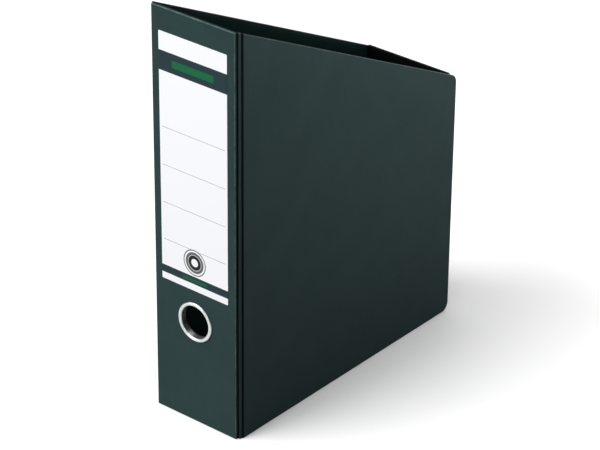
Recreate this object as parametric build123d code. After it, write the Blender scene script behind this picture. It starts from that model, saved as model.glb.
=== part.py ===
"""Slant-top magazine file: a glued box of film-covered board with a finger ring in its spine.

Millimetres, +Z up. X runs across the spine, the spine faces -Y, and the origin is the middle of the
box's footprint, on the surface it stands on. The pieces are first laid out with the spine's front
face at y = 0 and are moved back to that origin when they are written.
"""

import math
import os

from build123d import *

# Overall sizes
height = 318.0  # spine, and the sides where they meet it
depth = 245.0  # spine's front face to the sides' rear edges
rear_height = 199.0  # the slanted top line, where it reaches the rear edge
spine_width = 75.0  # spine's face, without the sides

# Sheets
board = 2.0  # grey board of every wall
film = 0.35  # cover film, inside and outside
lining = 0.2  # lining sheet, where it lies over the turned-in film
turn_in = 15.0  # film folded over a board's edge onto its inner face
lining_margin = 2.5  # bare turn-in left between a board's edge and the lining

# Hinges between spine and sides
side_step = 3.0  # how far the sides' outer faces stand outside the spine's edges
hinge_gap = 2.3  # spine's inner face to the sides' front edges
hinge_land = 1.3  # side's front edge left flat outside the hinge's crease
bead_height = 1.0  # bulge of the pressed hinge strip between its two creases

# Roundings
corner_radius = 7.0  # the sides' two rear corners, seen from the side
edge_radius = 0.8  # film where it goes round a board's edge

# Tray: rear wall and floor
rear_inset = 5.0  # rear wall's outer face, in from the sides' rear edges
rear_rise = 1.3  # rear wall's top edge above the slanted line at its outer face
floor_lift = 3.0  # underside of the floor above the standing surface
flange = 15.0  # glue flanges of the tray lining

# Finger ring
ring_height = 83.0  # centre above the standing surface
ring_outer = 31.0  # flange's diameter
ring_bore = 25.4  # barrel's inner diameter
ring_proud = 1.5  # flange's crown in front of the spine
ring_sheet = 0.5  # metal thickness
curl_width = 1.7  # how far the curled inner end reaches outwards over the washer
curl_height = 1.1  # how far the curl stands off the washer
hole_clearance = 0.2  # round the barrel
washer_width = 3.6  # ring of flat metal under the curl
washer_sheet = 0.5

# Label
label_width = 61.5
label_length = 192.0
label_bottom = 108.3
label_sheet = 0.2

# Worked out from the sizes above
panel = film + board + film
half_spine = spine_width / 2
side_out = half_spine + side_step
side_in = side_out - panel
side_front = panel + hinge_gap
inner_x = side_in - lining
inner_y = panel + lining
corner_x = half_spine - film - lining
hinge_end = side_front + 2 * film
slope_start = side_front - hinge_gap
slope = (height - rear_height) / (depth - slope_start)
slope_angle = math.atan(slope)
board_radius = edge_radius - film
barrel_radius = ring_bore / 2 + ring_sheet
hole_radius = barrel_radius + hole_clearance
rear_out = depth - rear_inset
rear_in = rear_out - panel
rear_top = height - slope * (rear_out - slope_start) + rear_rise
floor_top = floor_lift + panel
front_y = (ring_proud - depth) / 2


def slant(y, margin=0.0):
    """Height of the slanted top line at y, moved in by margin at right angles."""
    return height - slope * (y - slope_start) - margin / math.cos(slope_angle)


def box(x_low, x_high, y_low, y_high, z_low, z_high):
    """Box between two corners."""
    middle = ((x_low + x_high) / 2, (y_low + y_high) / 2, (z_low + z_high) / 2)
    return Pos(*middle) * Box(x_high - x_low, y_high - y_low, z_high - z_low)


def both_sides(right):
    """A right-hand solid and its mirror image."""
    return right, mirror(right, about=Plane.YZ)


def side_plate(margin, x_low, x_high, front):
    """Plate with the side panel's outline, moved in by margin all round but at its front edge."""
    back = depth - margin
    corners = [(front, margin), (back, margin), (back, slant(back, margin)), (front, slant(front, margin))]
    outline = make_face(Polyline(*corners, close=True))
    if corner_radius > margin:
        rear_corners = outline.vertices().sort_by(Axis.X)[-2:]
        outline = fillet(rear_corners, corner_radius - margin)
    return extrude(Plane.YZ.offset(x_low) * outline, amount=x_high - x_low)


def rounded_side(margin, x_low, x_high, radius):
    """Side plate with rounded edges, but for the inner front edge, where the hinge strip joins it."""
    front = side_front + margin
    plate = side_plate(margin, x_low, x_high, front)
    flat_edges = [edge for edge in plate.edges() if edge.bounding_box().size.X < radius]
    inner_edges = [edge for edge in flat_edges if edge.center().X < x_low + radius]
    hinge_edge = [edge for edge in inner_edges if edge.center().Y < front + radius]
    return fillet([edge for edge in flat_edges if edge not in hinge_edge], radius)


def rounded_spine(margin, radius):
    """Spine plate with rounded edges, but for the two inner edges along the hinges."""
    half = half_spine - margin
    plate = box(-half, half, margin, panel - margin, margin, height - margin)
    flat_edges = [edge for edge in plate.edges() if edge.bounding_box().size.Y < radius]
    inner_edges = [edge for edge in flat_edges if edge.center().Y > panel / 2]
    hinge_edges = [edge for edge in inner_edges if abs(edge.center().X) > half - radius]
    return fillet([edge for edge in flat_edges if edge not in hinge_edges], radius)


def ring_hole():
    """Cylinder that clears the ring's barrel all the way through the spine."""
    through = Cylinder(hole_radius, 4 * (panel + lining))
    return Pos(0, panel / 2, ring_height) * Rot(90, 0, 0) * through


def upright(points, z_low, z_high):
    """Prism standing on a plan outline."""
    outline = make_face(Polyline(*points, close=True))
    return extrude(Pos(0, 0, z_low) * outline, amount=z_high - z_low)


def hinge_strip():
    """Right-hand strip of film between spine and side: two creases with a bead between them."""
    crease_spine = (half_spine, panel - film / 2)
    crease_side = (side_out - hinge_land, side_front)
    middle = ((crease_spine[0] + crease_side[0]) / 2, (crease_spine[1] + crease_side[1]) / 2)
    run = (crease_side[0] - crease_spine[0], crease_side[1] - crease_spine[1])
    length = math.hypot(*run)
    crown = (middle[0] + bead_height * run[1] / length, middle[1] - bead_height * run[0] / length)
    back_of_spine = (half_spine - film, panel)
    back_of_side = (side_in, side_front + film)
    inside = Polyline(
        crease_spine,
        (back_of_spine[0], crease_spine[1]),
        back_of_spine,
        back_of_side,
        (crease_side[0], back_of_side[1]),
        crease_side,
    )
    bead = ThreePointArc(crease_side, crown, crease_spine)
    strip = extrude(make_face(inside + bead), amount=height)
    behind = side_front + panel
    above = make_face(Polyline((slope_start, height), (behind, slant(behind)), (behind, height), close=True))
    return strip - extrude(Plane.YZ.offset(half_spine - panel) * above, amount=3 * panel)


def spine_board():
    return rounded_spine(film, board_radius) - ring_hole()


def right_side_board():
    return rounded_side(film, side_in + film, side_out - film, board_radius)


def left_side_board():
    return mirror(right_side_board(), about=Plane.YZ)


def lining_corner():
    """Right-hand strip of the lining that backs the hinge strip."""
    plan = [
        (half_spine - film, panel),
        (side_in, side_front + film),
        (side_in, hinge_end),
        (inner_x, hinge_end),
        (corner_x, inner_y),
        (corner_x, panel),
    ]
    return upright(plan, lining_margin, slant(side_front + film, lining_margin))


def case_lining():
    """Lining of spine and sides: it fills the field between the turn-ins and laps over them."""
    field = film + turn_in
    back = film + board
    spine_edge = half_spine - film
    spine_field = box(-spine_edge, spine_edge, back, panel, field, height - field)
    spine_lap = box(-corner_x, corner_x, panel, inner_y, lining_margin, height - lining_margin)
    side_field = side_plate(field, side_in, side_in + film, side_front + film)
    side_lap = side_plate(lining_margin, inner_x, side_in, side_front + film)
    sheet = spine_field + spine_lap
    for piece in (side_field, side_lap, lining_corner()):
        right, left = both_sides(piece)
        sheet = sheet + right + left
    return sheet - ring_hole()


def cover_film():
    """Outer film of spine, hinges and sides, with its turn-ins: all that the boards leave free."""
    cover = rounded_spine(0, edge_radius)
    side = rounded_side(0, side_in, side_out, edge_radius)
    for piece in (side, hinge_strip()):
        right, left = both_sides(piece)
        cover = cover + right + left
    for inner in (spine_board(), right_side_board(), left_side_board(), case_lining()):
        cover = cover - inner
    return cover - ring_hole()


def rear_board():
    return box(-inner_x, inner_x, rear_in + film, rear_out - film, floor_lift + film, rear_top - film)


def floor_plate(y_high, z_low, z_high):
    """Level plate between the linings, its front corners clipped along the hinges."""
    right = [(inner_x, y_high), (inner_x, hinge_end), (corner_x, inner_y)]
    left = [(-x, y) for x, y in reversed(right)]
    return upright(right + left, z_low, z_high)


def floor_board():
    return floor_plate(rear_in + film, floor_lift + film, floor_top - film)


def tray_film():
    """Film under the floor, up the rear wall's outside and over its top edge."""
    wall = box(-inner_x, inner_x, rear_in, rear_out, floor_lift, rear_top)
    long_edges = wall.edges().filter_by(Axis.X)
    wrapped = [edge for edge in long_edges if edge.center().Y > rear_in or edge.center().Z > floor_top]
    wall = fillet(wrapped, edge_radius)
    bare = box(-inner_x, inner_x, rear_in, rear_in + film, floor_lift + film, rear_top - turn_in)
    return wall - bare - rear_board() + floor_plate(rear_in + film, floor_lift, floor_lift + film)


def tray_lining():
    """Inside of rear wall and floor, with glue flanges on the sides and the spine."""
    flange_top = floor_top + flange
    sheet = floor_plate(rear_in + film, floor_top - film, floor_top)
    sheet = sheet + box(-inner_x, inner_x, rear_in, rear_in + film, floor_top - film, rear_top - turn_in)
    sheet = sheet + box(-corner_x, corner_x, inner_y, inner_y + film, floor_top - film, flange_top)
    low_band = box(inner_x - film, inner_x, hinge_end, rear_in, floor_top - film, flange_top)
    rear_band = box(inner_x - film, inner_x, rear_in - flange, rear_in, floor_top, rear_top - turn_in)
    for piece in (low_band, rear_band):
        right, left = both_sides(piece)
        sheet = sheet + right + left
    return sheet


def quarter_round(side, crest):
    """Arc from a side point, where it runs along the ring's axis, to a crest, where it runs across it."""
    share = math.sqrt(0.5)
    middle = (crest[0] + share * (side[0] - crest[0]), side[1] + share * (crest[1] - side[1]))
    return ThreePointArc(side, middle, crest)


def finger_ring():
    """Flanged ring: a rolled flange in front, a barrel through the spine and a curled inner end."""
    lip = ring_outer / 2
    bore = ring_bore / 2
    inside_face = inner_y + washer_sheet
    crown = ((lip + bore) / 2 + ring_sheet, -ring_proud)
    crest = (barrel_radius + curl_width / 2, inside_face + curl_height)
    curl_tip = (barrel_radius + curl_width, inside_face)
    front = quarter_round((lip, 0), crown) + quarter_round((bore, ring_sheet), crown)
    curl = quarter_round((bore, inside_face), crest) + quarter_round(curl_tip, crest)
    bore_line = Line((bore, ring_sheet), (bore, inside_face))
    back = Polyline(curl_tip, (barrel_radius, inside_face), (barrel_radius, 0), (lip, 0))
    profile = make_face(front + bore_line + curl + back)
    solid = revolve(profile, axis=Axis.Y, revolution_arc=360)
    return Pos(0, 0, ring_height) * solid


def ring_washer():
    """Flat counter ring that the barrel is curled over."""
    inner = barrel_radius
    disc = Cylinder(inner + washer_width, washer_sheet) - Cylinder(inner, 3 * washer_sheet)
    return Pos(0, inner_y + washer_sheet / 2, ring_height) * Rot(90, 0, 0) * disc


def spine_label():
    half = label_width / 2
    return box(-half, half, -label_sheet, 0, label_bottom, label_bottom + label_length)


pieces = [
    spine_board,
    left_side_board,
    right_side_board,
    cover_film,
    case_lining,
    rear_board,
    floor_board,
    tray_film,
    tray_lining,
    finger_ring,
    ring_washer,
    spine_label,
]

os.makedirs("parts", exist_ok=True)
for piece in pieces:
    placed = Pos(0, front_y, 0) * piece()
    export_step(placed, f"parts/{piece.__name__}.step")
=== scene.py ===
"""Slant-top magazine file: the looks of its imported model, and a plain studio stage round it.

Metres, +Z up. X runs across the spine and the spine faces -Y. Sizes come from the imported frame; what
the frame's boxes can't tell is a property below.
"""

import math

import bmesh
import bpy
from bpy.props import FloatProperty, FloatVectorProperty, PointerProperty
from bpy.types import Operator, Panel, PropertyGroup
from mathutils import Matrix, Vector


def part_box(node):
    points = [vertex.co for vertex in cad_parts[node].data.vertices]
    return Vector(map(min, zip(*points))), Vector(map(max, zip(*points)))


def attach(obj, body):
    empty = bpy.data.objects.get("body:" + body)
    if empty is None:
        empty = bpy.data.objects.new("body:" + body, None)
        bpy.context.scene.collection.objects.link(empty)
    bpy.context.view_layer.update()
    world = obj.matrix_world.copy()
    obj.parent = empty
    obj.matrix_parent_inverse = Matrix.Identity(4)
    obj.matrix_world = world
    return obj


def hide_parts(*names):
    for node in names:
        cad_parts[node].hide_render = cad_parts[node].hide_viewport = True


bl_info = {
    "name": "Magazine File",
    "version": (1, 0, 0),
    "blender": (4, 5, 0),
    "location": "View3D > Sidebar > Magazine File",
    "description": "Builds the film cover, label and finger ring of a slant-top magazine file",
    "category": "Object",
}

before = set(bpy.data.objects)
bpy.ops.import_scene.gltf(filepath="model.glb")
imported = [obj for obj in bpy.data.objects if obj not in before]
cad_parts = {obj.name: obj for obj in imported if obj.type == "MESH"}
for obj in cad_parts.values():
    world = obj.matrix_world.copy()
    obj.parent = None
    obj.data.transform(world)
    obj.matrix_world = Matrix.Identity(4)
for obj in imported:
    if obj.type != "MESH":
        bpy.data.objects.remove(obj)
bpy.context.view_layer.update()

BODY = "root"
X, Y = 0, 1
SLACK = 1e-6
CUT_SLACK = 1e-7
PAST_ROUNDING = 1.01
EDGE_SEGMENTS = 6
CORNER_SEGMENTS = 12
BLACK = (0.0, 0.0, 0.0, 1.0)
WHITE = (1.0, 1.0, 1.0, 1.0)
AXIS_X = Vector((1, 0, 0))
AXIS_Y = Vector((0, 1, 0))
AXIS_Z = Vector((0, 0, 1))


# ---------------------------------------------------------------- sizes read from the frame


class FrameSizes:
    """Places of the CAD pieces, in metres."""

    def __init__(self, rear_height):
        cover_low, cover_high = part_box("cover_film")
        spine_low, spine_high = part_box("spine_board")
        side_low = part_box("right_side_board")[0]
        self.film = spine_low.y - cover_low.y
        self.front = cover_low.y
        self.rear = cover_high.y
        self.height = cover_high.z
        self.half_spine = spine_high.x + self.film
        self.panel = spine_high.y - spine_low.y + 2 * self.film
        self.side_in = side_low.x - self.film
        self.side_out = cover_high.x
        self.side_front = side_low.y - self.film
        self.washer_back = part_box("ring_washer")[1].y
        slope_start = self.front + self.panel
        self.slope_start = slope_start
        self.slope = (self.height - rear_height) / (self.rear - slope_start)
        self.slope_angle = math.atan(self.slope)
        self.slanted = Vector((0, math.sin(self.slope_angle), math.cos(self.slope_angle)))

    def slant(self, y, margin=0.0):
        """Height of the slanted top line at y, moved in by margin at right angles."""
        return self.height - self.slope * (y - self.slope_start) - margin / math.cos(self.slope_angle)


# ---------------------------------------------------------------- properties


def metres(name, description, default):
    """Property for a length."""
    return FloatProperty(name=name, description=description, default=default, unit="LENGTH")


def degrees(name, description, default):
    """Property for a turn, with its default in degrees."""
    return FloatProperty(
        name=name, description=description, default=math.radians(default), subtype="ANGLE"
    )


def paint(name, description, default):
    """Property for a colour."""
    return FloatVectorProperty(
        name=name, description=description, default=default, subtype="COLOR", size=3, min=0, max=1
    )


class CaseSizes(PropertyGroup):
    """Sizes of the case that the frame's boxes can't tell."""

    rear_height: metres(
        "Rear Height", "Height of the slanted top line where it reaches the rear edge", 0.199
    )
    corner_radius: metres("Corner Radius", "Rounding of the sides' two rear corners", 0.007)
    edge_radius: metres(
        "Edge Radius", "Rounding of the film where it goes round a board's edge", 0.0008
    )
    turn_in: metres("Turn-in", "Film folded over a board's edge onto its inner face", 0.015)
    hinge_land: metres("Hinge Land", "Side's front edge left flat outside the hinge's crease", 0.0013)
    bead_height: metres(
        "Hinge Bead", "Bulge of the pressed hinge strip between its two creases", 0.0010
    )
    hole_clearance: metres(
        "Hole Clearance", "Gap between the spine's round hole and the ring's barrel", 0.0002
    )


class RingSizes(PropertyGroup):
    """Section of the finger ring."""

    bore: metres("Bore", "Inner diameter of the ring's barrel", 0.0254)
    sheet: metres("Sheet", "Metal thickness", 0.0005)
    curl_width: metres(
        "Curl Width", "How far the curled inner end reaches outwards over the washer", 0.0017
    )


class LabelPrint(PropertyGroup):
    """Printed areas of the label, as heights above its lower edge."""

    corner_radius: metres("Label Corner", "Rounding of the label's corners", 0.0006)
    foot_bar: metres("Foot Bar", "Height of the white bar at the label's foot", 0.0052)
    field_low: metres("Writing Field, Low", "Lower edge of the white writing field", 0.0109)
    field_high: metres("Writing Field, High", "Upper edge of the white writing field", 0.1622)
    head_bar: metres("Head Bar", "Lower edge of the white bar at the label's head", 0.1776)
    first_rule: metres("First Rule", "Height of the lowest writing rule", 0.0322)
    rule_spacing: metres("Rule Spacing", "Distance between two writing rules", 0.0293)
    seal_height: metres("Seal Height", "Centre of the round mark above the label's lower edge", 0.0225)
    seal_radius: metres("Seal Radius", "Outer radius of the round mark", 0.0103)


class FinishColours(PropertyGroup):
    """Colours of the finishes."""

    cover: paint("Cover Film", "Near-black film with a green cast, outside", (0.0208, 0.0440, 0.0440))
    # Paler edge colour: partly rub wear, partly painted highlight along the film's rounded rims.
    wear: paint("Worn Edge", "Paler grey of the film where its edges are rubbed", (0.190, 0.225, 0.225))
    tray: paint(
        "Tray", "Black film and paper of the floor, rear wall and glue flanges", (0.0020, 0.0028, 0.0028)
    )
    lining: paint("Lining", "Matt lining sheet, near black with a green cast", (0.0130, 0.0460, 0.0400))
    board: paint("Grey Board", "Grey board inside the film", (0.34, 0.33, 0.30))
    nickel: paint("Nickel", "Nickel plate of the ring and its washer", (0.56, 0.575, 0.575))
    paper: paint("Label Paper", "White of the label", (0.82, 0.825, 0.85))
    ink: paint("Band Ink", "Dark bands of the label", (0.0120, 0.0290, 0.0340))
    rule: paint("Rule Ink", "Thin grey writing rules", (0.20, 0.21, 0.23))
    title: paint("Title Bar", "Plain green bar in the head band", (0.005, 0.105, 0.040))
    foot: paint("Foot Line", "Plain green line in the foot band", (0.004, 0.085, 0.040))


class StageSettings(PropertyGroup):
    """Floor, light and camera."""

    azimuth: degrees(
        "Camera Azimuth", "Turn of the camera round the file, from looking along +Y", 39.65
    )
    elevation: degrees("Camera Elevation", "Height of the camera above the horizon", 28.74)
    roll: degrees("Camera Roll", "Turn of the camera about its own line of sight", 0.55)
    distance: metres("Camera Distance", "From the camera to the point it looks at", 2.025)
    lens: FloatProperty(
        name="Lens",
        description="Focal length in millimetres",
        default=166.0,
    )
    target: FloatVectorProperty(
        name="Target",
        description="Point that the camera looks at",
        subtype="TRANSLATION",
        size=3,
        default=(-0.0062, 0.0002, 0.1082),
    )
    floor_size: metres("Floor Size", "Side of the square floor", 14.0)
    sky_strength: FloatProperty(
        name="Sky Strength",
        description="Brightness of the even light from all round",
        default=0.05,
    )


def settings(name):
    """One of the property groups above."""
    return getattr(bpy.context.scene, "magazine_file_" + name)


def frame_sizes():
    return FrameSizes(settings("case").rear_height)


# ---------------------------------------------------------------- mesh helpers


def box_mesh(low, high):
    """Bmesh of a box between two corners."""
    bm = bmesh.new()
    size = Vector(high) - Vector(low)
    middle = (Vector(high) + Vector(low)) / 2
    placed = Matrix.Translation(middle) @ Matrix.Diagonal((*size, 1.0))
    bmesh.ops.create_cube(bm, size=1.0, matrix=placed)
    return bm


def faces_at(bm, axis, place):
    """Faces that lie in the plane where a coordinate has one value."""
    return [f for f in bm.faces if all(abs(v.co[axis] - place) < SLACK for v in f.verts)]


def once_each(parts):
    """Parts in the order they came in, without repeats."""
    return list(dict.fromkeys(parts))


def edges_of(faces):
    return once_each(edge for face in faces for edge in face.edges)


def parts_of(faces):
    """Faces with their edges and vertices, as the cutting operators want them."""
    verts = once_each(vert for face in faces for vert in face.verts)
    return verts + edges_of(faces) + list(faces)


def round_edges(bm, edges, radius, segments):
    bmesh.ops.bevel(
        bm,
        geom=edges,
        offset=radius,
        offset_type="OFFSET",
        affect="EDGES",
        segments=segments,
        profile=0.5,
        material=-1,
        clamp_overlap=False,
    )


def cut_faces(bm, faces, place, normal):
    """Cuts some flat faces along a plane and returns the vertices on the cut."""
    made = bmesh.ops.bisect_plane(
        bm, geom=parts_of(faces), dist=CUT_SLACK, plane_co=place, plane_no=normal
    )
    return [part for part in made["geom_cut"] if isinstance(part, bmesh.types.BMVert)]


def open_field(bm, axis, place, cuts, is_bare):
    """Cuts the flat faces at one place and takes out those whose middle a rule calls bare."""
    for point, normal in cuts:
        cut_faces(bm, faces_at(bm, axis, place), point, normal)
    bare = [face for face in faces_at(bm, axis, place) if is_bare(face.calc_center_median())]
    if not bare:
        raise RuntimeError("a cover wasn't opened inside")
    bmesh.ops.delete(bm, geom=bare, context="FACES")


def mirror_mesh(bm):
    """Mirror image through the middle plane, with its faces pointing outwards."""
    bmesh.ops.scale(bm, vec=(-1, 1, 1), verts=bm.verts)
    bmesh.ops.reverse_faces(bm, faces=bm.faces)


def mark_wear_highlight(bm, directions, rubbed_or_lit):
    """Writes how far round an edge each vertex stands, where a rule on its place calls it worn; the
    values pale the colour as rub wear and as painted edge highlight.
    """
    layer = bm.verts.layers.float.new("edge_wear")
    bm.normal_update()
    turned = 1 - math.cos(math.pi / 4)
    for vert in bm.verts:
        nearest = max(abs(vert.normal.dot(direction)) for direction in directions)
        vert[layer] = min(1.0, (1 - nearest) / turned) if rubbed_or_lit(vert.co) else 0.0


def mark_crease_shade(bm, depth_in):
    """Writes how deep in a hinge crease each vertex lies, from a rule on its place; the colour darkens
    with it as painted shade.
    """
    layer = bm.verts.layers.float.new("crease")
    for vert in bm.verts:
        vert[layer] = min(1.0, max(0.0, depth_in(vert.co)))


def piece_from(bm, name, material, replaced, weighted=True):
    """Makes a finished piece of a bmesh and ties it to the frame."""
    for face in bm.faces:
        face.smooth = True
    mesh = bpy.data.meshes.new(name)
    bm.to_mesh(mesh)
    bm.free()
    mesh.materials.append(material)
    piece = bpy.data.objects.new(name, mesh)
    bpy.context.scene.collection.objects.link(piece)
    if weighted:
        flat = piece.modifiers.new("Flat faces", "WEIGHTED_NORMAL")
        flat.mode = "FACE_AREA"
        flat.weight = 50
        flat.keep_sharp = True
    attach(piece, BODY)
    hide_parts(*replaced)


def film_piece(bm, name):
    """Makes a finished piece of the cover film."""
    piece_from(bm, name, cover_material(), ["cover_film"])


def film_pair(names, make_mesh):
    """Makes a right-hand piece of the cover film and, under the second name, its mirror image."""
    for name, mirrored in zip(names, (False, True)):
        bm = make_mesh()
        if mirrored:
            mirror_mesh(bm)
        film_piece(bm, name)


def thicken(bm, thickness):
    """Gives an open shell a wall on its inner side."""
    bmesh.ops.recalc_face_normals(bm, faces=bm.faces)
    bmesh.ops.solidify(bm, geom=list(bm.faces), thickness=thickness)


# ---------------------------------------------------------------- shader helpers


class Shader:
    """Node tree of a material or a node group, with short calls for its nodes."""

    def __init__(self, tree):
        self.tree = tree

    def add(self, kind, **values):
        node = self.tree.nodes.new(kind)
        for key, value in values.items():
            setattr(node, key, value)
        return node

    def link(self, source, target):
        self.tree.links.new(source, target)

    def feed(self, socket, value):
        """Links a socket or sets a plain value."""
        if isinstance(value, bpy.types.NodeSocket):
            self.link(value, socket)
        else:
            socket.default_value = value

    def maths(self, operation, *values, clamp=False):
        node = self.add("ShaderNodeMath", operation=operation, use_clamp=clamp)
        for socket, value in zip(node.inputs, values):
            self.feed(socket, value)
        return node.outputs[0]

    def mix(self, factor, first, second):
        """Mix of two colours. The node's sockets share their names, so they go by number."""
        node = self.add("ShaderNodeMix", data_type="RGBA")
        self.feed(node.inputs[0], factor)
        self.feed(node.inputs[6], first)
        self.feed(node.inputs[7], second)
        return node.outputs[2]

    def spread(self, value, taken, given=(0.0, 1.0)):
        """Stretches a value from one range, low and high, to another."""
        node = self.add("ShaderNodeMapRange")
        self.feed(node.inputs["Value"], value)
        for end, old, new in zip(("Min", "Max"), taken, given):
            self.feed(node.inputs["From " + end], old)
            self.feed(node.inputs["To " + end], new)
        return node.outputs[0]

    def noise(self, vector, scale, detail=2.0, roughness=0.5):
        node = self.add("ShaderNodeTexNoise")
        self.feed(node.inputs["Vector"], vector)
        self.feed(node.inputs["Scale"], scale)
        self.feed(node.inputs["Detail"], detail)
        self.feed(node.inputs["Roughness"], roughness)
        return node.outputs["Fac"]

    def place(self, scale=(1, 1, 1), move=(0, 0, 0)):
        """Object coordinates, moved and scaled by a Mapping node."""
        coordinates = self.add("ShaderNodeTexCoord")
        mapping = self.add("ShaderNodeMapping")
        self.link(coordinates.outputs["Object"], mapping.inputs["Vector"])
        mapping.inputs["Location"].default_value = move
        mapping.inputs["Scale"].default_value = scale
        return mapping.outputs["Vector"]

    def split(self, vector):
        """X, Y and Z of a vector."""
        node = self.add("ShaderNodeSeparateXYZ")
        self.link(vector, node.inputs[0])
        return node.outputs

    def reach(self, first, second):
        """How far the point with these two coordinates lies from the origin."""
        squares = [self.maths("MULTIPLY", value, value) for value in (first, second)]
        return self.maths("SQRT", self.maths("ADD", *squares))

    def bump(self, height, strength, distance, normal=None):
        node = self.add("ShaderNodeBump")
        node.inputs["Strength"].default_value = strength
        node.inputs["Distance"].default_value = distance
        self.link(height, node.inputs["Height"])
        if normal is not None:
            self.link(normal, node.inputs["Normal"])
        return node.outputs["Normal"]

    def group(self, name, **values):
        node = self.add("ShaderNodeGroup", node_tree=bpy.data.node_groups[name])
        for key, value in values.items():
            self.feed(node.inputs[key.replace("_", " ")], value)
        return node


def new_group(name, inputs, outputs):
    """Shader node group with named sockets; returns its helper, input sockets and output node."""
    tree = bpy.data.node_groups.new(name, "ShaderNodeTree")
    for socket_name, socket_type, default in inputs:
        socket = tree.interface.new_socket(socket_name, in_out="INPUT", socket_type=socket_type)
        if default is not None:
            socket.default_value = default
    for socket_name, socket_type in outputs:
        tree.interface.new_socket(socket_name, in_out="OUTPUT", socket_type=socket_type)
    shader = Shader(tree)
    entry = shader.add("NodeGroupInput")
    leave = shader.add("NodeGroupOutput")
    return shader, entry.outputs, leave.inputs


def embossed_grain_group():
    """Fine embossing of plastic film: tiny rounded cells with a softer unevenness under them."""
    shader, given, result = new_group(
        "Embossed Grain",
        [("Vector", "NodeSocketVector", None), ("Cell Size", "NodeSocketFloat", 0.0004)],
        [("Height", "NodeSocketFloat"), ("Unevenness", "NodeSocketFloat")],
    )
    scale = shader.maths("DIVIDE", 1.0, given["Cell Size"])
    cells = shader.add("ShaderNodeTexVoronoi", feature="SMOOTH_F1")
    shader.link(given["Vector"], cells.inputs["Vector"])
    shader.link(scale, cells.inputs["Scale"])
    cells.inputs["Smoothness"].default_value = 0.6
    coarse_scale = shader.maths("MULTIPLY", scale, 0.33)
    coarse = shader.noise(given["Vector"], coarse_scale, detail=3.0)
    coarse_height = 0.7
    cell_height = shader.maths("SUBTRACT", 1.0, cells.outputs["Distance"])
    shader.link(shader.maths("MULTIPLY_ADD", coarse, coarse_height, cell_height), result["Height"])
    slow_scale = shader.maths("MULTIPLY", scale, 0.012)
    slow = shader.noise(given["Vector"], slow_scale, detail=4.0)
    shader.link(slow, result["Unevenness"])


def edge_wear_highlight_group():
    """Broken-up lightening along rounded edges, from the mesh's own per-vertex edge values: partly rub
    wear, partly painted highlight.
    """
    shader, given, result = new_group(
        "Edge Wear",
        [("Vector", "NodeSocketVector", None), ("Amount", "NodeSocketFloat", 0.5)],
        [("Mask", "NodeSocketFloat")],
    )
    edge = shader.add("ShaderNodeAttribute", attribute_name="edge_wear")
    patches = shader.noise(given["Vector"], scale=160.0, detail=4.0, roughness=0.65)
    broken = shader.spread(patches, (0.38, 0.72), (0.25, 1.0))
    mask = shader.maths("MULTIPLY", edge.outputs["Fac"], broken)
    shader.link(shader.maths("MULTIPLY", mask, given["Amount"], clamp=True), result["Mask"])


def handling_marks_group():
    """Faint streaks and smudges that handling leaves on a satin surface."""
    shader, given, result = new_group(
        "Handling Marks",
        [("Vector", "NodeSocketVector", None)],
        [("Smudge", "NodeSocketFloat"), ("Scuff", "NodeSocketFloat")],
    )
    smudge = shader.noise(given["Vector"], scale=26.0, detail=5.0, roughness=0.6)
    shader.link(shader.spread(smudge, (0.35, 0.7)), result["Smudge"])
    stretch = shader.add("ShaderNodeMapping")
    shader.link(given["Vector"], stretch.inputs["Vector"])
    stretch.inputs["Scale"].default_value = (420.0, 420.0, 34.0)
    stretch.inputs["Rotation"].default_value = (math.radians(18), math.radians(7), 0)
    scuff = shader.noise(stretch.outputs["Vector"], scale=1.0, detail=2.0)
    shader.link(shader.spread(scuff, (0.66, 0.74)), result["Scuff"])


def rounded_bar_group():
    """Mask of a bar with rounded corners, from two coordinates."""
    shader, given, result = new_group(
        "Rounded Bar",
        [
            ("Across", "NodeSocketFloat", 0.0),
            ("Up", "NodeSocketFloat", 0.0),
            ("Half Width", "NodeSocketFloat", 0.01),
            ("Half Height", "NodeSocketFloat", 0.01),
            ("Radius", "NodeSocketFloat", 0.001),
        ],
        [("Mask", "NodeSocketFloat")],
    )
    over = []
    for along, half in (("Across", "Half Width"), ("Up", "Half Height")):
        core = shader.maths("SUBTRACT", given[half], given["Radius"])
        outside = shader.maths("SUBTRACT", shader.maths("ABSOLUTE", given[along]), core)
        over.append(shader.maths("MAXIMUM", outside, 0.0))
    away = shader.reach(*over)
    shader.link(shader.maths("LESS_THAN", away, given["Radius"]), result["Mask"])


def new_material(name):
    """Empty node material with its Principled shader; returns material, helper and shader inputs."""
    material = bpy.data.materials.new(name)
    material.use_nodes = True
    material.node_tree.nodes.clear()
    shader = Shader(material.node_tree)
    output = shader.add("ShaderNodeOutputMaterial")
    principled = shader.add("ShaderNodeBsdfPrincipled")
    shader.link(principled.outputs["BSDF"], output.inputs["Surface"])
    return material, shader, principled.inputs


def colour(name, gain=1.0):
    return (*(channel * gain for channel in getattr(settings("colours"), name)), 1.0)


# ---------------------------------------------------------------- materials


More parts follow.
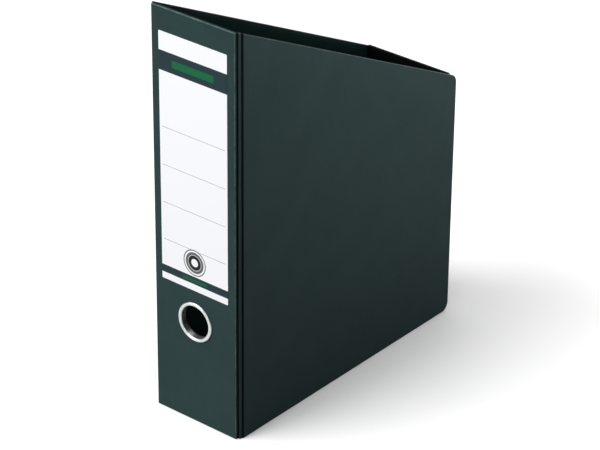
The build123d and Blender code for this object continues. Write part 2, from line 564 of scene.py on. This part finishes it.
def film_material(name, colour_name, cell_size, roughness, specular, wear):
    """Embossed film: slow unevenness, handling marks, paler edges that are partly rub wear and partly
    painted highlight, and painted shade in the hinge creases.
    """
    material, shader, surface = new_material(name)
    vector = shader.place()
    grain = shader.group("Embossed Grain", Vector=vector, Cell_Size=cell_size)
    marks = shader.group("Handling Marks", Vector=vector)
    edge = shader.group("Edge Wear", Vector=vector, Amount=wear)
    darker, paler, scuff_gain = 0.93, 1.07, 1.8
    pit_share, scuff_share, crease_shade_share = 0.16, 0.10, 0.93
    slow = shader.spread(grain.outputs["Unevenness"], (0.3, 0.7))
    uneven = shader.mix(slow, colour(colour_name, darker), colour(colour_name, paler))
    pits = shader.spread(grain.outputs["Height"], (0.75, 1.35), (pit_share, 0.0))
    base = shader.mix(pits, uneven, BLACK)
    scuff = shader.maths("MULTIPLY", marks.outputs["Scuff"], scuff_share)
    scuffed = shader.mix(scuff, base, colour(colour_name, scuff_gain))
    # Paler edges: partly rub wear, partly painted highlight on the rounded rims.
    worn_and_lit = shader.mix(edge.outputs["Mask"], scuffed, colour("wear"))
    # Painted shade: the per-vertex crease values darken the colour towards black in the hinge grooves.
    crease = shader.add("ShaderNodeAttribute", attribute_name="crease")
    painted_shade = shader.spread(crease.outputs["Fac"], (0.0, 0.7), (0.0, crease_shade_share))
    shader.link(shader.mix(painted_shade, worn_and_lit, BLACK), surface["Base Color"])
    clean, smudged = roughness - 0.03, roughness + 0.05
    rough = shader.spread(marks.outputs["Smudge"], (0.0, 1.0), (clean, smudged))
    shader.link(rough, surface["Roughness"])
    surface["Specular IOR Level"].default_value = specular
    wavy = shader.bump(grain.outputs["Unevenness"], strength=0.35, distance=0.0006)
    embossed = shader.bump(grain.outputs["Height"], strength=0.35, distance=0.00006, normal=wavy)
    shader.link(embossed, surface["Normal"])
    return material


def board_material():
    """Grey board: short pale and dark fibres pressed flat."""
    material, shader, surface = new_material("Grey board")
    dark, pale, speck = (colour("board", gain) for gain in (0.82, 1.14, 0.4))
    fibres = shader.noise(shader.place(scale=(900, 900, 260)), scale=1.0, detail=5.0, roughness=0.7)
    specks = shader.noise(shader.place(), scale=1500.0, detail=2.0)
    base = shader.mix(shader.spread(fibres, (0.3, 0.7)), dark, pale)
    specked = shader.mix(shader.spread(specks, (0.66, 0.78), (0.0, 0.6)), base, speck)
    shader.link(specked, surface["Base Color"])
    shader.link(shader.spread(fibres, (0.3, 0.7), (0.86, 0.96)), surface["Roughness"])
    surface["Specular IOR Level"].default_value = 0.25
    shader.link(shader.bump(fibres, strength=0.4, distance=0.0001), surface["Normal"])
    return material


def nickel_material(axis_height):
    """Slightly hazy nickel plate with fine turning marks round the ring's axis."""
    material, shader, surface = new_material("Nickel plate")
    vector = shader.place(move=(0, 0, -axis_height))
    place = shader.split(vector)
    radius = shader.reach(place["X"], place["Z"])
    turning = shader.add("ShaderNodeTexNoise", noise_dimensions="1D")
    shader.link(shader.maths("ADD", radius, place["Y"]), turning.inputs["W"])
    turning.inputs["Scale"].default_value = 9000.0
    turning.inputs["Detail"].default_value = 3.0
    haze = shader.noise(vector, scale=240.0, detail=4.0, roughness=0.6)
    shader.link(shader.mix(haze, colour("nickel", 0.93), colour("nickel", 1.05)), surface["Base Color"])
    surface["Metallic"].default_value = 1.0
    shader.link(shader.spread(haze, (0.3, 0.7), (0.32, 0.44)), surface["Roughness"])
    turned = shader.bump(turning.outputs["Fac"], strength=0.12, distance=0.00001)
    shader.link(turned, surface["Normal"])
    return material


def ramp(shader, value, stops):
    """Colour Ramp of plain steps: (position, colour) pairs."""
    node = shader.add("ShaderNodeValToRGB")
    node.color_ramp.interpolation = "CONSTANT"
    elements = node.color_ramp.elements
    while len(elements) < len(stops):
        elements.new(1.0)
    for element, (position, stop_colour) in zip(elements, stops):
        element.position = position
        element.color = stop_colour
    shader.link(value, node.inputs["Fac"])
    return node.outputs["Color"]


def label_material(low, high):
    """White label paper with dark bands, thin writing rules, plain green bars and a round mark."""
    printed = settings("label")
    material, shader, surface = new_material("Label print")
    length = high.z - low.z
    place = shader.split(shader.place(move=(0, 0, -low.z)))
    across, up = place["X"], place["Z"]
    paper, ink = colour("paper"), colour("ink")
    bands = ramp(
        shader,
        shader.maths("DIVIDE", up, length),
        [
            (0.0, paper),
            (printed.foot_bar / length, ink),
            (printed.field_low / length, paper),
            (printed.field_high / length, ink),
            (printed.head_bar / length, paper),
        ],
    )
    ruled = shader.mix(rule_mask(shader, across, up, high.x), bands, colour("rule"))
    sealed = round_mark(shader, across, up, ruled)
    title_height = (printed.field_high + printed.head_bar) / 2
    title = green_bar(
        shader, across, up, height=title_height, half_width=0.0188, half_height=0.0027, radius=0.0012
    )
    titled = shader.mix(title, sealed, colour("title"))
    foot_height = (printed.foot_bar + printed.field_low) / 2
    foot = green_bar(
        shader, across, up, height=foot_height, half_width=0.0115, half_height=0.0011, radius=0.0005
    )
    shader.link(shader.mix(foot, titled, colour("foot")), surface["Base Color"])
    fibres = shader.noise(shader.place(), scale=1400.0, detail=4.0, roughness=0.65)
    shader.link(shader.spread(fibres, (0.3, 0.7), (0.46, 0.58)), surface["Roughness"])
    surface["Specular IOR Level"].default_value = 0.1
    shader.link(shader.bump(fibres, strength=0.12, distance=0.00003), surface["Normal"])
    return material


def rule_mask(shader, across, up, half_width):
    """Evenly spaced thin rules that stop short of the label's sides."""
    printed = settings("label")
    half_rule = 0.00017
    side_gap = 0.002
    rules = 4
    over_first = shader.maths("SUBTRACT", up, printed.first_rule)
    steps = shader.maths("DIVIDE", over_first, printed.rule_spacing)
    held = shader.maths("MINIMUM", shader.maths("MAXIMUM", steps, 0.0), rules - 1.0)
    nearest = shader.maths("ROUND", held)
    away = shader.maths("MULTIPLY", shader.maths("SUBTRACT", steps, nearest), printed.rule_spacing)
    on_rule = shader.maths("LESS_THAN", shader.maths("ABSOLUTE", away), half_rule)
    inside = shader.maths("LESS_THAN", shader.maths("ABSOLUTE", across), half_width - side_gap)
    return shader.maths("MULTIPLY", on_rule, inside)


def round_mark(shader, across, up, ground):
    """Plain concentric rings, at shares of the mark's radius, printed over the ground colour."""
    printed = settings("label")
    height = shader.maths("SUBTRACT", up, printed.seal_height)
    share = shader.maths("DIVIDE", shader.reach(across, height), printed.seal_radius)
    paper = colour("paper")
    black = (0.010, 0.010, 0.011, 1.0)
    grey = (0.11, 0.11, 0.12, 1.0)
    pale = (0.40, 0.40, 0.41, 1.0)
    rings = ramp(
        shader,
        share,
        [
            (0.0, paper),
            (0.30, black),
            (0.55, pale),
            (0.62, grey),
            (0.80, paper),
            (0.92, grey),
        ],
    )
    return shader.mix(shader.maths("LESS_THAN", share, 1.0), ground, rings)


def green_bar(shader, across, up, height, half_width, half_height, radius):
    """Mask of a bar in the middle of the label's width, its centre at a height."""
    bar = shader.group(
        "Rounded Bar",
        Across=across,
        Up=shader.maths("SUBTRACT", up, height),
        Half_Width=half_width,
        Half_Height=half_height,
        Radius=radius,
    )
    return bar.outputs["Mask"]


def material_named(name, make):
    """A material by name, made on first use."""
    return bpy.data.materials.get(name) or make()


def film_named(name, colour_name, **finish):
    return material_named(name, lambda: film_material(name, colour_name, **finish))


def cover_material():
    finish = {"cell_size": 0.00042, "roughness": 0.46, "specular": 0.05, "wear": 0.95}
    return film_named("Cover film", "cover", **finish)


def lining_material():
    finish = {"cell_size": 0.00060, "roughness": 0.66, "specular": 0.06, "wear": 0.3}
    return film_named("Lining sheet", "lining", **finish)


def tray_material():
    finish = {"cell_size": 0.00050, "roughness": 0.72, "specular": 0.04, "wear": 0.0}
    return film_named("Black paper", "tray", **finish)


def plate_material():
    washer_low, washer_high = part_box("ring_washer")
    return material_named("Nickel plate", lambda: nickel_material((washer_low.z + washer_high.z) / 2))


def dress(node, material):
    """Gives a CAD node a material of its own."""
    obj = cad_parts[node]
    if not obj.material_slots:
        obj.data.materials.append(material)
    for slot in obj.material_slots:
        slot.material = material


# ---------------------------------------------------------------- operators


class MAGFILE_OT_groups(Operator):
    """Makes the shader node groups that the materials share"""

    bl_idname = "magfile.groups"
    bl_label = "Shader Groups"

    def execute(self, context):
        embossed_grain_group()
        edge_wear_highlight_group()
        handling_marks_group()
        rounded_bar_group()
        return {"FINISHED"}


def side_shell(sizes, case):
    """Right-hand side cover: a rounded plate, open inside where the turned-in film ends."""
    bm = box_mesh((sizes.side_in, sizes.side_front, 0), (sizes.side_out, sizes.rear, sizes.height))
    for vert in bm.verts:
        if vert.co.z > sizes.height / 2:
            vert.co.z = sizes.slant(vert.co.y)
    rear = faces_at(bm, Y, sizes.rear)[0]
    across = [edge for edge in rear.edges if abs(edge.verts[0].co.z - edge.verts[1].co.z) < SLACK]
    low_corner, high_corner = sorted(across, key=lambda edge: edge.verts[0].co.z)
    blunt = math.tan((math.pi / 2 - sizes.slope_angle) / 2)
    round_edges(bm, [low_corner], case.corner_radius, CORNER_SEGMENTS)
    round_edges(bm, [high_corner], case.corner_radius * blunt, CORNER_SEGMENTS)
    round_edges(bm, side_rim(bm, sizes), case.edge_radius, EDGE_SEGMENTS)
    radius = case.edge_radius
    flat = (AXIS_X, AXIS_Y, AXIS_Z, sizes.slanted)
    rim_x = sizes.side_out - PAST_ROUNDING * radius
    crease_reach, bare_share = 1.5, 0.4
    rim_y = sizes.side_front + crease_reach * radius
    cut_faces(bm, bm.faces[:], Vector((0, rim_y, 0)), AXIS_Y)
    # Outer rims paled in colour: partly rub wear, partly painted highlight.
    mark_wear_highlight(bm, flat, lambda co: co.x > rim_x and co.y > rim_y - SLACK)
    # Painted shade: the front rounding by the hinge is darkened in colour.
    mark_crease_shade(bm, lambda co: (rim_y - co.y) / radius - bare_share)
    open_inner_face(bm, sizes, case)
    thicken(bm, sizes.film)
    return bm


def side_rim(bm, sizes):
    """Edges round both broad faces, but for the inner front one, where the hinge joins."""
    inner = faces_at(bm, X, sizes.side_in)
    outer = faces_at(bm, X, sizes.side_out)
    rim = edges_of(inner + outer)
    front = faces_at(bm, Y, sizes.side_front)[0]
    hinge = [edge for edge in inner[0].edges if edge in front.edges[:]]
    return [edge for edge in rim if edge not in hinge]


def open_inner_face(bm, sizes, case):
    """Takes out the field that the turned-in film leaves bare."""
    field = sizes.film + case.turn_in
    front = sizes.side_front + sizes.film
    rear = sizes.rear - field
    cuts = (
        (Vector((0, front, 0)), AXIS_Y),
        (Vector((0, rear, 0)), AXIS_Y),
        (Vector((0, 0, field)), AXIS_Z),
        (Vector((0, sizes.rear, sizes.slant(sizes.rear, field))), sizes.slanted),
    )

    def is_bare(middle):
        return front < middle.y < rear and field < middle.z < sizes.slant(middle.y, field)

    open_field(bm, X, sizes.side_in, cuts, is_bare)


class MAGFILE_OT_side_covers(Operator):
    """Makes the film covers of both side panels"""

    bl_idname = "magfile.side_covers"
    bl_label = "Side Covers"

    def execute(self, context):
        sizes, case = frame_sizes(), settings("case")
        names = ("right_side_cover", "left_side_cover")
        film_pair(names, lambda: side_shell(sizes, case))
        return {"FINISHED"}


def spine_shell(sizes, case, hole_centre, hole_radius):
    """Spine cover: a rounded plate with its ring hole, open inside like the sides."""
    half = sizes.half_spine
    back = sizes.front + sizes.panel
    bm = box_mesh((-half, sizes.front, 0), (half, back, sizes.height))
    rear = faces_at(bm, Y, back)[0]
    upright = [edge for edge in rear.edges if abs(edge.verts[0].co.x - edge.verts[1].co.x) < SLACK]
    rim = [edge for edge in bm.edges if edge not in upright]
    round_edges(bm, rim, case.edge_radius, EDGE_SEGMENTS)
    rim_y = sizes.front + PAST_ROUNDING * case.edge_radius
    # Front rims paled in colour: partly rub wear, partly painted highlight.
    mark_wear_highlight(bm, (AXIS_X, AXIS_Y, AXIS_Z), lambda co: co.y < rim_y)
    # Painted shade: the side edge faces darken in colour towards the back, into the hinge groove.
    mark_crease_shade(bm, lambda co: (co.y - rim_y) / (back - rim_y) if abs(co.x) > half - SLACK else 0.0)
    open_spine_back(bm, sizes, case, back)
    pierce_front(bm, sizes.front, hole_centre, hole_radius)
    thicken(bm, sizes.film)
    return bm


def open_spine_back(bm, sizes, case, back):
    """Takes out the spine's bare field behind, between the turned-in film at head and foot."""
    field = sizes.film + case.turn_in
    edge = sizes.half_spine - sizes.film
    cuts = (
        (Vector((0, 0, field)), AXIS_Z),
        (Vector((0, 0, sizes.height - field)), AXIS_Z),
        (Vector((edge, 0, 0)), AXIS_X),
        (Vector((-edge, 0, 0)), AXIS_X),
    )

    def is_bare(middle):
        return abs(middle.x) < edge and field < middle.z < sizes.height - field

    open_field(bm, Y, back, cuts, is_bare)


def pierce_front(bm, front, centre, radius):
    """Round hole through the front face, inside a square of cut faces."""
    square_share = 1.6
    reach = square_share * radius
    side_edges = 16
    for sign in (-1, 1):
        cut_faces(bm, faces_at(bm, Y, front), centre + sign * reach * AXIS_Z, AXIS_Z)
        cut_faces(bm, faces_at(bm, Y, front), centre + sign * reach * AXIS_X, AXIS_X)
    near = 1e-4
    squares = [f for f in faces_at(bm, Y, front) if (f.calc_center_median() - centre).length < near]
    if len(squares) != 1:
        raise RuntimeError("the square round the ring hole wasn't found")
    border = list(squares[0].edges)
    bmesh.ops.delete(bm, geom=squares, context="FACES_ONLY")
    bmesh.ops.subdivide_edges(bm, edges=border, cuts=side_edges - 1)
    outer = [e for e in bm.edges if e.is_boundary and near_square(e, centre, reach, front)]
    upright = Matrix.Rotation(math.pi / 2, 4, "X") @ Matrix.Rotation(math.pi / 4, 4, "Z")
    turned = Matrix.Translation(centre) @ upright
    made = bmesh.ops.create_circle(
        bm, cap_ends=False, segments=4 * side_edges, radius=radius, matrix=turned
    )
    circle = once_each(edge for vert in made["verts"] for edge in vert.link_edges)
    if len(outer) != 4 * side_edges:
        raise RuntimeError("the ring hole's border has the wrong number of edges")
    bmesh.ops.bridge_loops(bm, edges=outer + circle)


def near_square(edge, centre, reach, front):
    """True for an edge of the square hole in the front face."""
    for vert in edge.verts:
        away = vert.co - centre
        if abs(vert.co.y - front) > SLACK or abs(max(abs(away.x), abs(away.z)) - reach) > SLACK:
            return False
    return True


class MAGFILE_OT_spine_cover(Operator):
    """Makes the film cover of the spine, with the hole for the finger ring"""

    bl_idname = "magfile.spine_cover"
    bl_label = "Spine Cover"

    def execute(self, context):
        sizes = frame_sizes()
        case, ring = settings("case"), settings("ring")
        ring_low, ring_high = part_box("finger_ring")
        centre = Vector((0, sizes.front, (ring_low.z + ring_high.z) / 2))
        radius = ring.bore / 2 + ring.sheet + case.hole_clearance
        film_piece(spine_shell(sizes, case, centre, radius), "spine_cover")
        return {"FINISHED"}


def hinge_strip(sizes, case):
    """Right-hand hinge: pressed film with a bead between two creases, over the corner's gap."""
    film = sizes.film
    back = sizes.front + sizes.panel
    crease_spine = Vector((sizes.half_spine, back - film / 2, 0))
    crease_side = Vector((sizes.side_out - case.hinge_land, sizes.side_front, 0))
    run = crease_side - crease_spine
    middle = (crease_spine + crease_side) / 2
    half = run.length / 2
    bead = case.bead_height
    arc_radius = (half * half + bead * bead) / (2 * bead)
    outward = Vector((run.y, -run.x, 0)).normalized()
    centre = middle - (arc_radius - bead) * outward
    bm = bmesh.new()
    bead_steps = 12
    bmesh.ops.spin(
        bm,
        geom=[bm.verts.new(crease_spine)],
        cent=centre,
        axis=AXIS_Z,
        dvec=(0, 0, 0),
        angle=2 * math.asin(half / arc_radius),
        steps=bead_steps,
        use_duplicate=False,
    )
    behind = [
        (crease_side.x, sizes.side_front + film, 0),
        (sizes.side_in, sizes.side_front + film, 0),
        (sizes.half_spine - film, back, 0),
        (sizes.half_spine - film, crease_spine.y, 0),
    ]
    outline = sorted(bm.verts, key=lambda vert: (vert.co - crease_spine).length)
    outline += [bm.verts.new(corner) for corner in behind]
    face = bm.faces.new(outline)
    raised = bmesh.ops.extrude_face_region(bm, geom=[face])
    top = [item for item in raised["geom"] if isinstance(item, bmesh.types.BMVert)]
    for vert in top:
        vert.co.z = min(sizes.height, sizes.slant(vert.co.y))
    bmesh.ops.recalc_face_normals(bm, faces=bm.faces)
    across = run.normalized()
    bare_share = 0.45
    # Painted shade: the strip's colour darkens towards its two creases.
    mark_crease_shade(bm, lambda co: (abs((co - middle).dot(across)) / half - bare_share) / (1 - bare_share))
    mark_hinge_top_highlight(bm, sizes, case.edge_radius)
    return bm


def mark_hinge_top_highlight(bm, sizes, depth):
    """Marks the strip's upper end with the paler edge colour, as painted highlight and wear, down to a
    cut just below it.
    """
    layer = bm.verts.layers.float.new("edge_wear")
    top_wear_highlight = 0.8
    for vert in bm.verts:
        vert[layer] = top_wear_highlight if vert.co.z > sizes.height / 2 else 0.0
    below = Vector((0, sizes.slope_start, sizes.height - depth))
    for vert in cut_faces(bm, bm.faces[:], below, sizes.slanted):
        vert[layer] = 0.0


class MAGFILE_OT_hinges(Operator):
    """Makes the pressed film hinges between the spine and both sides"""

    bl_idname = "magfile.hinges"
    bl_label = "Hinges"

    def execute(self, context):
        sizes, case = frame_sizes(), settings("case")
        names = ("right_hinge_film", "left_hinge_film")
        film_pair(names, lambda: hinge_strip(sizes, case))
        return {"FINISHED"}


class MAGFILE_OT_inside(Operator):
    """Finishes the lining, the tray and the boards inside the film"""

    bl_idname = "magfile.inside"
    bl_label = "Lining, Tray and Boards"

    def execute(self, context):
        dress("case_lining", lining_material())
        dress("tray_lining", tray_material())
        dress("tray_film", tray_material())
        board = board_material()
        for node in ("spine_board", "left_side_board", "right_side_board", "rear_board", "floor_board"):
            dress(node, board)
        return {"FINISHED"}


class MAGFILE_OT_label(Operator):
    """Makes the printed spine label"""

    bl_idname = "magfile.label"
    bl_label = "Spine Label"

    def execute(self, context):
        low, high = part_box("spine_label")
        printed = settings("label")
        bm = box_mesh(low, high)
        upright = [edge for edge in bm.edges if abs(edge.verts[0].co.y - edge.verts[1].co.y) > SLACK]
        round_edges(bm, upright, printed.corner_radius, EDGE_SEGMENTS)
        soft_edge, soft_segments = 0.00006, 2
        round_edges(bm, edges_of(faces_at(bm, Y, low.y)), soft_edge, soft_segments)
        piece_from(bm, "printed_label", label_material(low, high), ["spine_label"])
        return {"FINISHED"}


def ring_section(ring, ring_low, ring_high, sizes):
    """Corners of the ring's section: each one's distance from the axis and place along it."""
    lip = (ring_high.x - ring_low.x) / 2
    bore = ring.bore / 2
    barrel = bore + ring.sheet
    curl = barrel + ring.curl_width
    return [
        (bore, ring_low.y),
        (lip, ring_low.y),
        (lip, sizes.front),
        (barrel, sizes.front),
        (barrel, sizes.washer_back),
        (curl, sizes.washer_back),
        (curl, ring_high.y),
        (bore, ring_high.y),
    ]


class MAGFILE_OT_finger_ring(Operator):
    """Makes the finger ring: a rolled flange, its barrel and the curled inner end"""

    bl_idname = "magfile.finger_ring"
    bl_label = "Finger Ring"

    def execute(self, context):
        sizes = frame_sizes()
        ring = settings("ring")
        ring_low, ring_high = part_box("finger_ring")
        axis_height = (ring_low.z + ring_high.z) / 2
        section = ring_section(ring, ring_low, ring_high, sizes)
        bm = bmesh.new()
        verts = [bm.verts.new((distance, along, axis_height)) for distance, along in section]
        face = bm.faces.new(verts)
        round_steps = 128
        bmesh.ops.spin(
            bm,
            geom=[*face.verts, *face.edges],
            cent=(0, 0, axis_height),
            axis=AXIS_Y,
            dvec=(0, 0, 0),
            angle=2 * math.pi,
            steps=round_steps,
            use_merge=True,
            use_duplicate=False,
        )
        bmesh.ops.delete(bm, geom=[face], context="FACES_ONLY")
        bmesh.ops.remove_doubles(bm, verts=bm.verts, dist=CUT_SLACK)
        bmesh.ops.recalc_face_normals(bm, faces=bm.faces)
        flange_share, curl_share = 0.47, 0.44
        rolls = ((section[:2], flange_share, 8), (section[6:], curl_share, 6))
        for corners, share, segments in rolls:
            roll = share * abs(corners[0][0] - corners[1][0])
            for distance, along in corners:
                round_edges(bm, circle_edges(bm, distance, along, axis_height), roll, segments)
        piece_from(bm, "polished_ring", plate_material(), ["finger_ring"], weighted=False)
        dress("ring_washer", plate_material())
        return {"FINISHED"}


def circle_edges(bm, distance, along, axis_height):
    """Edges of the circle at one distance from the ring's axis and one place along it."""
    found = []
    for edge in bm.edges:
        reaches = [math.hypot(vert.co.x, vert.co.z - axis_height) for vert in edge.verts]
        level = all(abs(vert.co.y - along) < SLACK for vert in edge.verts)
        if level and all(abs(reach - distance) < SLACK for reach in reaches):
            found.append(edge)
    if not found:
        raise RuntimeError("a circle of the ring wasn't found")
    return found


def floor_material():
    """Plain pale floor with a barely visible mottle."""
    material, shader, surface = new_material("Pale floor")
    mottle = shader.noise(shader.place(), scale=9.0, detail=3.0)
    grey, pale = (0.91, 0.91, 0.91, 1), (0.94, 0.94, 0.94, 1)
    shader.link(shader.mix(mottle, grey, pale), surface["Base Color"])
    surface["Roughness"].default_value = 0.9
    surface["Specular IOR Level"].default_value = 0.1
    grain = shader.noise(shader.place(), scale=400.0)
    shader.link(shader.bump(grain, strength=0.05, distance=0.0002), surface["Normal"])
    return material


def area_light(name, place, target, size, power, spread=math.pi):
    """Soft square light that faces a point."""
    light = bpy.data.lights.new(name, "AREA")
    light.shape = "SQUARE"
    light.size = size
    light.energy = power
    light.spread = spread
    lamp = bpy.data.objects.new(name, light)
    lamp.location = place
    aim = Vector(target) - Vector(place)
    lamp.rotation_euler = aim.to_track_quat("-Z", "Y").to_euler()
    bpy.context.scene.collection.objects.link(lamp)


def light_the_file():
    """Two soft lights on the file, one from above, a low one past its side and one on the floor."""
    middle = (0, 0, 0.15)
    area_light("Key", place=(-1.7, -2.6, 2.35), target=middle, size=3.4, power=222.0)
    area_light("Front fill", place=(1.3, -2.2, 1.25), target=middle, size=1.6, power=20.0)
    area_light("Ceiling", place=(-0.2, 0.5, 3.4), target=(-0.2, 0.5, 0), size=3.0, power=70.0)
    past_side = (0.04, 0.377, 0.90)
    area_light(
        "Side fill", place=(1.13, 0.10, 0.20), target=past_side, size=0.5, power=6.9, spread=1.4
    )
    wash, below = (0.75, 0.75, 1.5), (0.75, 0.75, 0)
    area_light("Floor wash", place=wash, target=below, size=0.8, power=5.5, spread=1.2)


def camera_matrix(view):
    """Place and turn of the camera that looks at the target from its azimuth and elevation."""
    back = Vector(
        (
            math.sin(view.azimuth) * math.cos(view.elevation),
            -math.cos(view.azimuth) * math.cos(view.elevation),
            math.sin(view.elevation),
        )
    )
    right = (-back).cross(AXIS_Z).normalized()
    upward = right.cross(-back)
    cosine, sine = math.cos(view.roll), math.sin(view.roll)
    columns = (cosine * right + sine * upward, cosine * upward - sine * right, back)
    turn = Matrix(columns).transposed().to_4x4()
    return Matrix.Translation(Vector(view.target) + back * view.distance) @ turn


class MAGFILE_OT_stage(Operator):
    """Sets up the pale floor, the soft light and the camera"""

    bl_idname = "magfile.stage"
    bl_label = "Stage"

    def execute(self, context):
        view = settings("stage")
        scene = context.scene
        scene.view_settings.view_transform = "Standard"
        half = view.floor_size / 2
        bm = bmesh.new()
        bmesh.ops.create_grid(bm, x_segments=8, y_segments=8, size=half)
        mesh = bpy.data.meshes.new("floor")
        bm.to_mesh(mesh)
        bm.free()
        mesh.materials.append(floor_material())
        floor = bpy.data.objects.new("floor", mesh)
        scene.collection.objects.link(floor)
        floor.visible_diffuse = False
        world = bpy.data.worlds.new("Studio")
        world.use_nodes = True
        sky = world.node_tree.nodes["Background"]
        sky.inputs["Color"].default_value = WHITE
        sky.inputs["Strength"].default_value = view.sky_strength
        scene.world = world
        light_the_file()
        camera_data = bpy.data.cameras.new("Camera")
        camera_data.lens = view.lens
        camera_data.clip_start = 0.05
        camera_data.clip_end = 50.0
        camera = bpy.data.objects.new("Camera", camera_data)
        camera.matrix_world = camera_matrix(view)
        scene.collection.objects.link(camera)
        scene.camera = camera
        return {"FINISHED"}


class MAGFILE_PT_sidebar(Panel):
    """Lists the steps and their sizes and colours"""

    bl_label = "Magazine File"
    bl_idname = "MAGFILE_PT_sidebar"
    bl_space_type = "VIEW_3D"
    bl_region_type = "UI"
    bl_category = "Magazine File"

    def draw(self, context):
        layout = self.layout
        for operator in STEPS:
            layout.operator(operator.bl_idname)
        for key in GROUPS:
            group = settings(key)
            box = layout.box()
            for prop in group.bl_rna.properties:
                if prop.identifier not in ("rna_type", "name"):
                    box.prop(group, prop.identifier)


GROUPS = {
    "case": CaseSizes,
    "ring": RingSizes,
    "label": LabelPrint,
    "colours": FinishColours,
    "stage": StageSettings,
}
STEPS = (
    MAGFILE_OT_stage,
    MAGFILE_OT_groups,
    MAGFILE_OT_spine_cover,
    MAGFILE_OT_side_covers,
    MAGFILE_OT_hinges,
    MAGFILE_OT_inside,
    MAGFILE_OT_label,
    MAGFILE_OT_finger_ring,
)


def register():
    for cls in (*GROUPS.values(), *STEPS, MAGFILE_PT_sidebar):
        bpy.utils.register_class(cls)
    for key, cls in GROUPS.items():
        setattr(bpy.types.Scene, "magazine_file_" + key, PointerProperty(type=cls))


def unregister():
    for key in GROUPS:
        delattr(bpy.types.Scene, "magazine_file_" + key)
    for cls in (MAGFILE_PT_sidebar, *reversed(STEPS), *GROUPS.values()):
        bpy.utils.unregister_class(cls)


def main():
    register()
    bpy.ops.magfile.stage()
    bpy.ops.magfile.groups()
    bpy.ops.magfile.spine_cover()
    bpy.ops.magfile.side_covers()
    bpy.ops.magfile.hinges()
    bpy.ops.magfile.inside()
    bpy.ops.magfile.label()
    bpy.ops.magfile.finger_ring()


if __name__ == "__main__":
    main()
